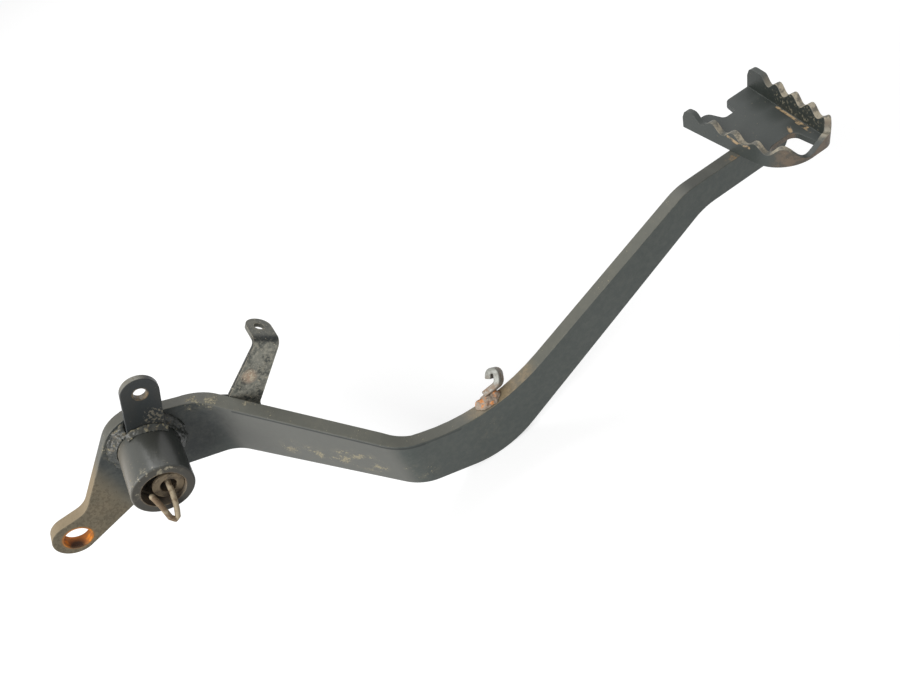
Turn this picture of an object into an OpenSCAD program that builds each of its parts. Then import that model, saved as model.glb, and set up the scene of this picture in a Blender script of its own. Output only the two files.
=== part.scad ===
// Rear brake pedal: a pressed arm on a pivot tube, with a toothed foot pad and small welded fittings.
// The origin is on the pivot axis, midway through the arm's eye. X runs forward to the pad,
// Y runs inboard along the pivot, and Z is up.

/* [Pivot tube] */
// Bore that turns on the pivot shaft
pivot_bore_d = 16; // [14:0.5:18]
// Wall of the tube round the bore
tube_wall = 4.5; // [3.5:0.1:6]
// Step from the bore to the wider mouth at the outboard end
mouth_step = 0.7; // [0.5:0.1:1.5]
// Depth of the wider mouth
mouth_depth = 7; // [6.5:0.5:10]
// How far the tube stands outboard of the arm
tube_outboard = 28.8; // [25:0.2:35]
// How far the tube stands inboard of the arm
tube_inboard = 3; // [2:0.5:6]
// Chamfer on the tube's ends
tube_chamfer = 0.6; // [0.2:0.1:1]

/* [Arm plate] */
// Thickness of the pressed plate
plate_t = 6.3; // [5:0.1:8]
// Width of the plate left round the tube
eye_wall = 4.8; // [4:0.2:7]
// Height of the top edge's line at the pivot
top_line_z = 17.6; // [17:0.1:19]
// Downward slope of the top edge, in degrees
top_slope = 26.2; // [24:0.2:28]
// Height of the bottom edge's line at the pivot, below the axis
bottom_line_z = 21.35; // [20:0.1:23]
// Downward slope of the bottom edge, in degrees
bottom_slope = 22.9; // [21:0.2:24]
// Distance of the lowest point of the top edge's line from the pivot, along the plate
top_elbow_x = 149.5; // [149:0.5:154]
// Distance of the lowest point of the bottom edge's line from the pivot, along the plate
bottom_elbow_x = 150; // [145:1:156]
// Radius of the top edge round the elbow
top_elbow_r = 74; // [50:1:74]
// Radius of the bottom edge round the elbow
bottom_elbow_r = 40; // [25:1:50]
// Length of the rounded end beyond the pad's rear wall
arm_end = 28.5; // [24:0.5:31]
// Height of the plate's end under the pad
arm_end_h = 15.2; // [12:0.2:17]
// Length of the flat left on the plate's tip, between its round corners
tip_flat = 0.2; // [0.2:0.2:4]
// Length of the level top edge behind the pad's rear wall
level_run = 31; // [26:0.5:36]
// How much nearer the pad the bottom edge levels out
level_lag = 10; // [6:1:14]
// Radius of the blends where the arm levels out under the pad
end_blend_r = 24; // [12:1:40]

/* [Joggle] */
// Distance of the first bend from the pivot
bend_x = 26.1; // [24.5:0.1:30]
// How far the joggle sets the pad outboard of the eye
joggle = 53.8; // [44:0.2:60]
// Angle of each bend
bend_angle = 42.1; // [38:0.1:45]
// Inside radius of each bend
bend_r = 14; // [8:1:18]

/* [Lever end] */
// Height of the rod hole below the pivot
rod_hole_drop = 23.6; // [20:0.2:28]
// Distance of the rod hole behind the pivot
rod_hole_back = 50.4; // [46:0.2:56]
// Rod hole diameter
rod_hole_d = 10.9; // [8:0.1:12]
// Reach of the lever's end beyond the rod hole's middle
lever_end_r = 10.1; // [9.5:0.1:12]
// Angle of the lever's upper edge
lever_top_angle = 44; // [42:0.5:46]
// Angle of the lever's lower edge
lever_bottom_angle = 15; // [13:0.5:17]
// Clear distance of the lever's lower edge from the pivot
lever_bottom_reach = 19.4; // [18:0.2:21]
// Blend between the lever's lower edge and the arm's
crotch_r = 9; // [4:1:14]
// Blend in the lever's upper edge
knee_r = 10; // [4:1:12]
// Height of the lever's upper edge over the rod hole, at its end
lever_top_reach = 9.5; // [9:0.1:11]
// Radius of the corners of the lever's end
lever_corner_r = 9; // [6:0.1:9]
// How far the lower of those corners is lifted
lever_toe_lift = 1.5; // [0:0.1:2]

/* [Foot pad] */
// Distance of the pad's rear wall from the pivot
pad_x = 277.5; // [270:0.5:285]
// Distance from the rear wall to the front wall, at the inboard end
pad_width = 39; // [34:0.5:44]
// How much narrower the pad is at its outboard end
pad_taper = 10.4; // [6:0.2:12]
// How far the pad reaches inboard of the arm's inboard face
pad_inboard = 28.5; // [24:0.5:32]
// How far the pad reaches outboard of the arm's outboard face
pad_outboard = 24; // [20:0.5:28]
// Sheet thickness of the pad
pad_t = 2.8; // [2:0.1:3.5]
// Height of the rear wall's teeth over the floor
rear_wall_h = 7; // [6:0.2:10]
// Height of the front wall's teeth over the floor
front_wall_h = 10; // [7:0.2:12]
// How much lower the teeth are round the nose
nose_drop = 5; // [2:0.2:5]
// Depth of the valleys between teeth
tooth_depth = 3.8; // [2:0.1:4]
// Distance of the rear wall's first crest from its end
rear_first = 5.7; // [5:0.1:7]
// Pitch of the teeth along the rear wall
rear_pitch = 12.3; // [11:0.1:13]
// Distance of the front wall's first crest from its end
front_first = 9.5; // [8:0.1:11]
// Pitch of the teeth along the front wall
front_pitch = 10.6; // [9:0.1:11]
// Spacing of the last two crests, at the nose's front corner
nose_pitch = 7.3; // [6:0.1:9]
// Radius of the corners at the ends of the walls
shoulder_r = 4.2; // [2:0.1:5]
// Radius of the pad's corner between the rear wall and the nose
nose_r = 16; // [12:0.5:17]
// Radius of the pad's corner between the nose and the front wall
front_nose_r = 6.5; // [4:0.5:7]
// Length of the opening between the floor and the nose
nose_gap = 13; // [9:0.2:14]
// Width of the floor left between that opening and the front wall
nose_ledge = 6.5; // [4:0.5:9]
// Blends in the edge of that opening
gap_blend_r = 3.5; // [2:0.1:4]
// Distance of the floor's inboard edge from the rear wall's end
floor_setback = 4.2; // [2:0.2:8]
// Distance of the notch in that edge from the rear wall
notch_x = 16; // [14:0.5:20]
// Depth of the notch
notch_depth = 8.8; // [6:0.2:12]
// Width of the notch at its bottom
notch_w = 6.5; // [5.5:0.5:9]
// Blends at the notch's bottom
notch_r = 2.2; // [1:0.1:2.5]
// How far each side of the notch leans outwards
notch_lean = 2.2; // [1:0.1:3]

/* [Spring tab] */
// Distance of the tab's hole from the tube's side
tab_rise = 18.5; // [16:0.5:24]
// Angle of the tab over the forward direction
tab_angle = 63.4; // [58:0.2:70]
// Width of the tab
tab_w = 15; // [12:0.5:18]
// Thickness of the tab
tab_t = 3; // [2:0.1:4]
// Hole in the tab
tab_hole_d = 5.2; // [4:0.1:7]
// Gap between the tab and the arm, filled by weld at the foot
tab_stand_off = 1.9; // [1:0.1:4]

/* [Switch bracket] */
// Distance of the bend between foot and strip from the pivot
bracket_x = 38.5; // [37:0.5:42]
// Thickness of the bracket's strip
bracket_t = 1.9; // [1.5:0.1:3]
// Width of the strip and its ear
bracket_w = 11.3; // [9:0.1:14]
// Length of the strip from its foot to the fold
bracket_rise = 29; // [24:0.5:36]
// Angle of the strip's forward edge over the forward direction
bracket_angle = 45; // [41:0.5:49]
// Distance of the middle of the ear's fold from the bend, forward
ear_out = 27.5; // [25:0.5:30]
// Height of the middle of the ear's fold over the pivot
ear_up = 13.4; // [11:0.2:16]
// Angle of the ear's face over the forward direction
ear_angle = 49; // [45:0.5:53]
// Length of the folded ear
ear_length = 17.1; // [14:0.1:22]
// Hole in the ear
ear_hole_d = 4.6; // [3:0.1:6]
// Distance of the ear's hole from its tip
ear_hole_inset = 6.2; // [5:0.1:8]
// Inside radius of the ear's fold
ear_fold_r = 1.2; // [0.6:0.1:2]
// Length of the foot that lies on the arm
foot_length = 8; // [6:0.5:12]
// Height of the foot
foot_h = 20; // [14:0.5:22]
// How far the foot's top is below the pivot axis
foot_drop = 2; // [1:0.5:4]
// Blend at the foot of the strip
foot_blend_r = 2; // [1:0.1:3]

/* [Spring hook] */
// Thickness of the hook's strip
hook_t = 2.8; // [1.5:0.1:3]
// Width of the hook's strip
hook_w = 7; // [4:0.5:8]
// Distance of the hook's foot from the pivot
hook_x = 132.5; // [128:0.5:142]
// Length of the straight foot
hook_foot = 6.6; // [5:0.2:9]
// How far the middle of the strip lies outboard of the arm's top inboard edge
hook_offset = 1.7; // [0:0.1:3]
// Angle that the foot climbs at, in the hook's own plane
hook_rise = 38; // [30:1:50]
// Radius of the bend over the foot, to the middle of the strip
hook_foot_r = 3.2; // [2:0.1:5]
// Length of the straight between the bends
hook_neck = 2.2; // [1:0.1:5]
// Angle of the neck
hook_neck_angle = 98; // [90:1:110]
// Radius of the bend at the hook's top, to the middle of the strip
hook_r = 1.9; // [1.8:0.1:4]
// Angle of the tip, which points back down
hook_tip_angle = 268; // [260:1:290]
// Length of the tip beyond the bend
hook_tip = 2; // [1:0.1:5]
// How far the hook leans inboard from upright
hook_lean = 50; // [30:1:60]
// How far the hook is turned outboard from the arm's direction
hook_turn = 45; // [30:1:60]

/* [Washer and split pin] */
// How much smaller the washer is than the tube's mouth
washer_slack = 4.9; // [1:0.1:6]
// Width of the washer's ring
washer_ring = 2.95; // [2:0.05:3]
// Thickness of the washer
washer_t = 1.5; // [1:0.1:2]
// Depth of the washer in the tube's mouth
washer_depth = 2; // [1.6:0.1:3]
// Side that the washer has slid to, in degrees under the forward direction
washer_angle = 40; // [30:1:60]
// Wire diameter of the split pin
pin_wire_d = 2.3; // [1.6:0.1:2.4]

/* [Welds] */
// Leg length of the bead round the tube
tube_bead = 4; // [3:0.2:5]
// Leg length of the bead at the tab's foot
tab_bead = 2.8; // [2:0.2:4]
// Leg length of the beads under the pad
pad_bead = 2.6; // [2:0.2:4]
// Leg length of the bead on the bracket's foot
bracket_bead = 2; // [1:0.2:3]
// Length of the lump of weld at the hook's foot
hook_lump = 14; // [12:0.5:18]
// Width of that lump
hook_lump_w = 7.4; // [6:0.1:9]
// Height of that lump
hook_lump_h = 6.4; // [5:0.1:8]
// How far the lump's middle is outboard of the arm's inboard face
hook_lump_inset = 2.2; // [1.5:0.1:3]
// How far the lump's middle is behind the hook's foot
hook_lump_back = 1.4; // [0:0.1:3]

/* [Clearances] */
// Gap between a fitted piece and the curved face that it is welded to
weld_gap = 0.05; // [0.02:0.01:0.2]
// Gap under the hook's foot, which weld fills
hook_gap = 0.2; // [0.1:0.05:0.4]
// Gap between the tube and the arm's hole
eye_gap = 0.1; // [0.05:0.01:0.2]
// Gap between the loose washer and the tube's mouth
loose_gap = 0.1; // [0.05:0.05:0.3]

/* [Hidden] */
$fn = 96;
OVER = 1;
SLICE = 1.5;
WIRE_FN = 16;
LUMP_FN = 40;

tube_r = pivot_bore_d / 2 + tube_wall;
tube_d = 2 * tube_r;
mouth_d = pivot_bore_d + 2 * mouth_step;
washer_d = mouth_d - washer_slack;
washer_hole_d = washer_d - 2 * washer_ring;
eye_r = tube_r + eye_gap + eye_wall;
tab_reach = tube_r + tab_rise;
eye_back_y = plate_t / 2;
mouth_y = -plate_t / 2 - tube_outboard;
tube_end_y = eye_back_y + tube_inboard;

// Bends, along the plate's outboard face: distance is measured along the sharp-cornered line
bend_run = joggle / sin(bend_angle);
bend_2_s = bend_x + bend_run;
bend_2_x = bend_x + joggle / tan(bend_angle);
fold_saving = bend_2_s - bend_2_x;
bend_1_zone = bend_r * tan(bend_angle / 2);
bend_2_zone = (bend_r + plate_t) * tan(bend_angle / 2);
pad_arm_y = -plate_t / 2 - joggle;
flat_start = bend_x - bend_1_zone;
flat_end = bend_2_s + bend_2_zone;

// Pad levels
pad_floor_z = 0;
pad_under_z = pad_floor_z - pad_t;
arm_tip_x = pad_x + arm_end;
arm_under_z = pad_under_z - arm_end_h;
seat_x = pad_x - level_run;
pad_back_y = pad_arm_y + plate_t + pad_inboard;
pad_nose_y = pad_arm_y - pad_outboard;

// Edge heights of the flat stretches of the arm's outline
function top_z(s) = top_line_z - s * tan(top_slope);
function bottom_z(s) = -bottom_line_z - s * tan(bottom_slope);

// Outboard face of the plate seen from above, at distance s: [x, y, turn]
function face_at(s) =
    s < bend_x - bend_1_zone ? [s, -plate_t / 2, 0] :
    s < bend_x + bend_1_zone ? bend_1_at((s - bend_x + bend_1_zone) / (2 * bend_1_zone) * bend_angle) :
    s < bend_2_s - bend_2_zone ? slope_at(s - bend_x) :
    s < bend_2_s + bend_2_zone ? bend_2_at((bend_2_s + bend_2_zone - s) / (2 * bend_2_zone) * bend_angle) :
    [s - fold_saving, pad_arm_y, 0];
function slope_at(d) = [bend_x + d * cos(bend_angle), -plate_t / 2 - d * sin(bend_angle), bend_angle];
function bend_1_at(a) = [bend_x - bend_1_zone + bend_r * sin(a), -plate_t / 2 - bend_r * (1 - cos(a)), a];
function bend_2_at(a) = [bend_2_x + bend_2_zone - (bend_r + plate_t) * sin(a),
    pad_arm_y + (bend_r + plate_t) * (1 - cos(a)), a];

// A polygon's corner points with round corners: each corner is [x, y, radius]
function turned(v, a) = [v[0] * cos(a) - v[1] * sin(a), v[0] * sin(a) + v[1] * cos(a)];
function xy(p) = [p[0], p[1]];
function unit(v) = v / norm(v);
function corner_arc(a, b, c) = let (
        u = unit(xy(a) - xy(b)),
        w = unit(xy(c) - xy(b)),
        half = acos(u * w) / 2,
        run = b[2] / tan(half),
        start = xy(b) + u * run,
        centre = xy(b) + unit(u + w) * b[2] / sin(half),
        side = sign(u[0] * w[1] - u[1] * w[0]),
        sweep = -side * (180 - 2 * half),
        steps = max(1, ceil(abs(sweep) / 6))
    ) b[2] == 0 ? [xy(b)] : [for (i = [0:steps]) centre + turned(start - centre, sweep * i / steps)];
function rounded(c) = let (n = len(c))
    [for (i = [0:n - 1]) each corner_arc(c[(i + n - 1) % n], c[i], c[(i + 1) % n])];

// Point where two lines meet, each given by a point and a direction in degrees
function meet(p, a, q, b) = let (
        d = q - p,
        t = (d[0] * sin(b) - d[1] * cos(b)) / sin(b - a)
    ) p + t * [cos(a), sin(a)];

// A flat plate standing in the XZ plane: the outline is in [x, z], and y runs from low to high
module upright(low, high) {
    translate([0, high, 0])
        rotate([90, 0, 0])
            linear_extrude(height = high - low)
                children();
}

// A round bar along Y
module bar_y(x, z, d, low, high) {
    translate([x, high, z])
        rotate([90, 0, 0])
            cylinder(d = d, h = high - low);
}

// Solid through equal rings of points, each ring listed the same way round
module skin(rings) {
    n = len(rings[0]);
    m = len(rings);
    sides = [for (i = [0:m - 2], j = [0:n - 1])
        [i * n + j, i * n + (j + 1) % n, (i + 1) * n + (j + 1) % n, (i + 1) * n + j]];
    first = [for (j = [n - 1:-1:0]) j];
    last = [for (j = [0:n - 1]) (m - 1) * n + j];
    polyhedron(points = [for (r = rings) each r], faces = concat(sides, [first, last]));
}

// Arm: eye and lever end, joggled stretch, and the flat stretch that carries the pad
module eye_outline() {
    rod_hole = [-rod_hole_back, -rod_hole_drop];
    top_foot = eye_r * [cos(90 + lever_top_angle), sin(90 + lever_top_angle)];
    low_foot = lever_bottom_reach * [cos(270 + lever_bottom_angle), sin(270 + lever_bottom_angle)];
    lever_top_z = rod_hole[1] + lever_top_reach;
    knee = meet(top_foot, lever_top_angle, [0, lever_top_z], 0);
    heel = [rod_hole[0] - lever_end_r, rod_hole[1]];
    toe = meet(low_foot, lever_bottom_angle, [heel[0], 0], 90);
    crotch = meet(low_foot, lever_bottom_angle, [0, bottom_z(0)], -bottom_slope);
    polygon(rounded([
        [flat_start, bottom_z(flat_start), 0],
        [flat_start, top_z(flat_start), 0],
        [0, top_z(0), 0],
        [top_foot[0], top_foot[1], 0],
        [knee[0], knee[1], knee_r],
        [heel[0], lever_top_z, lever_corner_r],
        [toe[0], toe[1] + lever_toe_lift, lever_corner_r],
        [crotch[0], crotch[1], crotch_r]
    ]));
    circle(r = eye_r);
}

module pad_stretch_outline() {
    elbow_low = [bottom_elbow_x - fold_saving, bottom_z(bottom_elbow_x)];
    start_x = flat_end - fold_saving;
    tip_r = (arm_end_h - tip_flat) / 2;
    polygon(rounded([
        [start_x, bottom_z(flat_end), 0],
        [start_x, top_z(flat_end), 0],
        [elbow_top[0], elbow_top[1], top_elbow_r],
        [seat_x, pad_under_z, end_blend_r],
        [arm_tip_x, pad_under_z, tip_r],
        [arm_tip_x, arm_under_z, tip_r],
        [seat_x + level_lag, arm_under_z, end_blend_r],
        [elbow_low[0], elbow_low[1], bottom_elbow_r]
    ]));
}

module joggled_stretch() {
    count = ceil((flat_end - flat_start) / SLICE);
    skin([for (i = [0:count])
        let (
            s = flat_start + (flat_end - flat_start) * i / count,
            f = face_at(s),
            back = [f[0] + plate_t * sin(f[2]), f[1] + plate_t * cos(f[2])]
        ) [
            [f[0], f[1], bottom_z(s)],
            [f[0], f[1], top_z(s)],
            [back[0], back[1], top_z(s)],
            [back[0], back[1], bottom_z(s)]
        ]]);
}

module arm_solid() {
    difference() {
        union() {
            upright(-plate_t / 2, plate_t / 2)
                eye_outline();
            joggled_stretch();
            upright(pad_arm_y, pad_arm_y + plate_t)
                pad_stretch_outline();
        }
        bar_y(0, 0, tube_d + 2 * eye_gap, -plate_t, plate_t);
        bar_y(-rod_hole_back, -rod_hole_drop, rod_hole_d, -plate_t, plate_t);
    }
}

module arm() {
    color([0.25, 0.27, 0.26])
        arm_solid();
}

// Pivot tube: bearing bore with a wider mouth at the outboard end
module pivot_tube() {
    color([0.3, 0.31, 0.3])
        rotate([-90, 0, 0])
            rotate_extrude()
                polygon([
                    [pivot_bore_d / 2, mouth_y + mouth_depth],
                    [pivot_bore_d / 2, tube_end_y],
                    [tube_r - tube_chamfer, tube_end_y],
                    [tube_r, tube_end_y - tube_chamfer],
                    [tube_r, mouth_y + tube_chamfer],
                    [tube_r - tube_chamfer, mouth_y],
                    [mouth_d / 2, mouth_y],
                    [mouth_d / 2, mouth_y + mouth_depth]
                ]);
}

// Foot pad: a flat floor inside a toothed rim that runs round three sides
floor_edge_y = pad_back_y - floor_setback;
rim_line = rounded([
    [pad_x, pad_back_y, 0],
    [pad_x, pad_nose_y, nose_r],
    [pad_x + pad_width - pad_taper, pad_nose_y, front_nose_r],
    [front_wall_x(floor_edge_y) + pad_t / 2, floor_edge_y, 0]
]);

module foot_pad() {
    color([0.32, 0.33, 0.32]) {
        pad_floor();
        pad_rim();
    }
}

// Middle of the front wall's thickness, at distance y inboard
function front_wall_x(y) = pad_x + pad_width - pad_t / 2
    - pad_taper * (pad_back_y - y) / (pad_back_y - pad_nose_y);

module pad_floor() {
    rear = pad_x + pad_t / 2;
    end_y = pad_nose_y + pad_t + nose_gap;
    low = pad_x + notch_x - notch_w / 2;
    high = pad_x + notch_x + notch_w / 2;
    ledge_x = front_wall_x(end_y) - pad_t / 2 - nose_ledge;
    edge_blend_r = notch_r + notch_lean / 2;
    slant = 2 * gap_blend_r;
    translate([0, 0, pad_under_z])
        intersection() {
            linear_extrude(height = pad_t)
                polygon(rounded([
                    [rear, floor_edge_y, 0],
                    [low - notch_lean, floor_edge_y, edge_blend_r],
                    [low, floor_edge_y - notch_depth, notch_r],
                    [high, floor_edge_y - notch_depth, notch_r],
                    [high + notch_lean, floor_edge_y, edge_blend_r],
                    [front_wall_x(floor_edge_y), floor_edge_y, 0],
                    [front_wall_x(pad_nose_y), pad_nose_y, 0],
                    [ledge_x, pad_nose_y, 0],
                    [ledge_x, end_y, gap_blend_r],
                    [rear + slant, end_y, slant],
                    [rear, end_y - slant, 0]
                ]));
            translate([0, 0, -OVER])
                linear_extrude(height = pad_t + 2 * OVER)
                    polygon(rim_middle());
        }
}

function rim_turn(line, i) = let (
        d = unit(line[min(i + 1, len(line) - 1)] - line[max(i - 1, 0)])
    ) [-d[1], d[0]];
function rim_middle() = [for (i = [0:len(rim_line) - 1]) rim_line[i] + rim_turn(rim_line, i) * pad_t / 2];

// Crests along the rim, as distances from the rear wall's end
// Five are on the rear wall, one on the nose and five on the front wall
function crests(whole) = concat(
    [for (i = [0:4]) rear_first + i * rear_pitch],
    [whole - front_first - 4 * front_pitch - nose_pitch],
    [for (i = [4:-1:0]) whole - front_first - i * front_pitch]);
function eased(t) = let (u = min(1, max(0, t))) u * u * (3 - 2 * u);

// Depth of the rim's top under the crests at distance s: a smooth valley between each two crests
function valley(s, at) = let (
        i = max([for (k = [0:len(at) - 1]) at[k] <= s ? k : -1])
    ) i < 0 || i == len(at) - 1 ? 0 :
    let (gap = at[i + 1] - at[i])
    tooth_depth * min(1, gap / front_pitch) * (1 - cos(360 * (s - at[i]) / gap)) / 2;

// Height of the rim's top at distance s along the rim, of the whole length
function rim_top(s, whole) = let (
        at = crests(whole),
        nose_at = at[5],
        rise_run = nose_pitch + pad_t,
        rise = eased((s - nose_at + pad_t) / rise_run),
        drop_middle = (at[4] + 3 * nose_at) / 4,
        drop_run = nose_r + pad_t,
        from_middle = min(1, abs(s - drop_middle) / drop_run),
        drop = nose_drop * (1 + cos(180 * from_middle)) / 2,
        into_end = max(0, 1 - min(s, whole - s) / shoulder_r),
        shoulder = shoulder_r * (1 - sqrt(1 - pow(into_end, 2)))
    ) rear_wall_h + (front_wall_h - rear_wall_h) * rise - valley(s, at) - drop - shoulder;

function lengths(line, i = 0, sum = 0) =
    i == len(line) ? [] : concat(sum, lengths(line, i + 1,
        sum + (i + 1 < len(line) ? norm(line[i + 1] - line[i]) : 0)));

function divided(line, step) = [for (i = [0:len(line) - 2])
    let (n = max(1, ceil(norm(line[i + 1] - line[i]) / step)))
    for (j = [0:n - 1]) line[i] + (line[i + 1] - line[i]) * j / n, line[len(line) - 1]];

module pad_rim() {
    line = divided(rim_line, 1.1);
    s = lengths(line);
    last = len(line) - 1;
    skin([for (i = [0:last])
        let (
            top = pad_floor_z + rim_top(s[i], s[last]),
            out = line[i],
            inn = out + rim_turn(line, i) * pad_t
        ) [
            [out[0], out[1], pad_under_z],
            [out[0], out[1], top],
            [inn[0], inn[1], top],
            [inn[0], inn[1], pad_under_z]
        ]]);
}

// Spring tab: an upright plate on the tube, with a hole near its rounded end
module spring_tab() {
    color([0.12, 0.12, 0.12])
        tab_solid();
}

tab_front_y = -plate_t / 2 - tab_stand_off - tab_t;

module tab_solid() {
    rotate([0, -tab_angle, 0])
        difference() {
            upright(tab_front_y, tab_front_y + tab_t) {
                translate([tab_reach, 0])
                    circle(d = tab_w);
                translate([0, -tab_w / 2])
                    square([tab_reach, tab_w]);
            }
            bar_y(0, 0, tube_d + 2 * weld_gap, tab_front_y - OVER, tab_front_y + tab_t + OVER);
            bar_y(tab_reach, 0, tab_hole_d, tab_front_y - OVER, tab_front_y + tab_t + OVER);
        }
}

// Switch bracket: a foot on the arm's inboard face, an upright strip and a folded ear
bracket_y = -plate_t / 2 + (plate_t - (bracket_x - bend_x) * sin(bend_angle)) / cos(bend_angle);

// Middle of the fold line at the ear's outer face, in [x, z]
ear_mid = [bracket_x + ear_out, ear_up];

module bracket_solid() {
    out_dir = [cos(ear_angle), sin(ear_angle)];
    across = [-out_dir[1], out_dir[0]];
    fold_reach = ear_fold_r + bracket_t;
    lap = bracket_t;
    round_y = ear_length - bracket_w / 2;
    strip_end = ear_mid - out_dir * (fold_reach + lap / 2);
    left = strip_end + across * bracket_w / 2;
    right = strip_end - across * bracket_w / 2;
    low_right = right - bracket_rise * [cos(bracket_angle), sin(bracket_angle)];
    // Strip
    upright(bracket_y, bracket_y + bracket_t)
        polygon(rounded([
            [bracket_x, -foot_drop - foot_h, foot_blend_r],
            [bracket_x, -ear_fold_r, ear_fold_r],
            [left[0], left[1], 0],
            [right[0], right[1], 0],
            [low_right[0], low_right[1], 2 * foot_blend_r],
            [low_right[0] - foot_drop, -foot_drop - foot_h, foot_blend_r]
        ]));
    // Ear with its fold, which laps the strip's end
    translate([ear_mid[0], bracket_y, ear_mid[1]])
        rotate([0, -ear_angle, 0])
            difference() {
                union() {
                    translate([0, 0, -bracket_w / 2])
                        linear_extrude(height = bracket_w)
                            polygon(concat(
                                [[-fold_reach - lap, 0]],
                                fold_arc(fold_reach, fold_reach),
                                [[0, round_y], [-bracket_t, round_y]],
                                reversed(fold_arc(ear_fold_r, fold_reach)),
                                [[-fold_reach - lap, bracket_t]]
                            ));
                    translate([-bracket_t, round_y, 0])
                        rotate([0, 90, 0])
                            cylinder(d = bracket_w, h = bracket_t);
                }
                translate([-2 * bracket_t, ear_length - ear_hole_inset, 0])
                    rotate([0, 90, 0])
                        cylinder(d = ear_hole_d, h = 4 * bracket_t);
            }
    // Foot
    translate([bracket_x, bracket_y, 0])
        rotate([0, 0, -bend_angle])
            translate([-foot_length, 0, -foot_drop - foot_h])
                cube([foot_length, bracket_t, foot_h]);
}

// Quarter circle of the ear's fold in plan, from the strip's face to the ear's
function fold_arc(r, reach) = [for (a = [0:10:90]) [r * sin(a) - reach, reach - r * cos(a)]];
function reversed(line) = [for (i = [len(line) - 1:-1:0]) line[i]];

module switch_bracket() {
    color([0.42, 0.4, 0.36])
        bracket_solid();
}

// Spring hook: a strip bent to a hook, leaning inboard on the arm's top inboard edge
// The line starts at the foot's low end, and each bend turns left from one heading to the next
function bend_line(start, from, to, r) = [for (i = [0:8])
    let (a = from + (to - from) * i / 8) start + r * [sin(a) - sin(from), cos(from) - cos(a)]];
function step_on(start, heading, run) = start + run * [cos(heading), sin(heading)];
function hook_line() = let (
        first = bend_line(step_on([0, 0], hook_rise, hook_foot), hook_rise, hook_neck_angle, hook_foot_r),
        bend_start = step_on(first[8], hook_neck_angle, hook_neck),
        second = bend_line(bend_start, hook_neck_angle, hook_tip_angle, hook_r)
    ) concat([[0, 0]], first, second, [step_on(second[8], hook_tip_angle, hook_tip)]);
function ribbon(line, t) = let (
        last = len(line) - 1,
        side = [for (i = [0:last])
            let (d = unit(line[min(i + 1, last)] - line[max(i - 1, 0)])) [-d[1], d[0]] * t / 2]
    ) concat([for (i = [0:last]) line[i] + side[i]], [for (i = [last:-1:0]) line[i] - side[i]]);

// Centre of the arc round the top of the elbow, and the height of that edge at x
elbow_top = [top_elbow_x - fold_saving, top_z(top_elbow_x)];
elbow_rise = atan2(pad_under_z - elbow_top[1], seat_x - elbow_top[0]);
elbow_lean = (180 - top_slope + elbow_rise) / 2;
elbow_centre = elbow_top + top_elbow_r / cos((top_slope + elbow_rise) / 2) * [cos(elbow_lean), sin(elbow_lean)];
function elbow_z(x) = elbow_centre[1] - sqrt(pow(top_elbow_r, 2) - pow(x - elbow_centre[0], 2));

module hook_solid() {
    lift = hook_t / 2 + hook_gap;
    translate([hook_x, pad_arm_y + plate_t, elbow_z(hook_x)])
        rotate([0, 0, -hook_turn])
            rotate([90 - hook_lean, 0, 0])
                translate([-lift * sin(hook_rise), lift * cos(hook_rise), hook_offset - hook_w / 2])
                    linear_extrude(height = hook_w)
                        polygon(ribbon(hook_line(), hook_t));
}

module spring_hook() {
    color([0.55, 0.54, 0.5])
        hook_solid();
}

// Washer, lying on the lower side of the tube's mouth
washer_shift = (mouth_d - washer_d) / 2 - loose_gap;
washer_x = washer_shift * cos(washer_angle);
washer_z = -washer_shift * sin(washer_angle);
washer_y = mouth_y + washer_depth;

module pivot_washer() {
    color([0.45, 0.33, 0.22])
        difference() {
            bar_y(washer_x, washer_z, washer_d, washer_y, washer_y + washer_t);
            bar_y(washer_x, washer_z, washer_hole_d, washer_y - OVER, washer_y + washer_t + OVER);
        }
}

// Split pin, bent to a V that hangs out of the mouth: points are from the mouth's centre
pin_points = [[1.8, 5, -1.6], [1.6, 2.4, -2.6], [1.2, 0.8, -4.2], [-0.5, -1.6, -8.3], [-1.9, -2.6, -11.2],
    [-3.4, -3.2, -13.8], [-4.9, -3.4, -14.4], [-5.7, -3.3, -12], [-5.2, -3, -8.1], [-4.8, -2.4, -4.4],
    [-4.9, -1.3, -1.4], [-5.3, 0.2, 0.2]];

module split_pin() {
    color([0.5, 0.38, 0.25])
        translate([0, mouth_y, 0])
            for (i = [0:len(pin_points) - 2])
                hull() {
                    translate(pin_points[i])
                        sphere(d = pin_wire_d, $fn = WIRE_FN);
                    translate(pin_points[i + 1])
                        sphere(d = pin_wire_d, $fn = WIRE_FN);
                }
}

// Bead section between a round bar and a face: x outwards from the bar, y away from the face
BEAD_SAG = 0.75;
function bead_section(leg) = concat([[0, 0]], [for (a = [0:15:90])
    leg * (1 - BEAD_SAG * sin(a) * cos(a)) * [cos(a), sin(a)]]);

module tube_weld() {
    color([0.35, 0.34, 0.31])
        difference() {
            translate([0, -plate_t / 2, 0])
                rotate([90, 0, 0])
                    rotate_extrude()
                        translate([tube_r + weld_gap, 0])
                            polygon(bead_section(tube_bead));
            rotate([0, -tab_angle, 0])
                translate([0, tab_front_y - OVER, -tab_w / 2 - weld_gap])
                    cube([tube_d * 2, plate_t + tab_t, tab_w + 2 * weld_gap]);
        }
}

module tab_weld() {
    bead_half = 38;
    color([0.36, 0.33, 0.28])
        translate([0, tab_front_y, 0])
            rotate([90, 0, 0])
                rotate([0, 0, tab_angle - bead_half])
                    rotate_extrude(angle = 2 * bead_half)
                        translate([tube_r + weld_gap, 0])
                            polygon(bead_section(tab_bead));
}

module bracket_weld() {
    color([0.4, 0.36, 0.3])
        translate([bracket_x, bracket_y, 0])
            rotate([0, 0, -bend_angle])
                translate([-foot_length, 0, -foot_h])
                    rotate([0, 0, 90])
                        linear_extrude(height = foot_h - 2 * foot_drop)
                            polygon(bead_section(bracket_bead));
}

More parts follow.
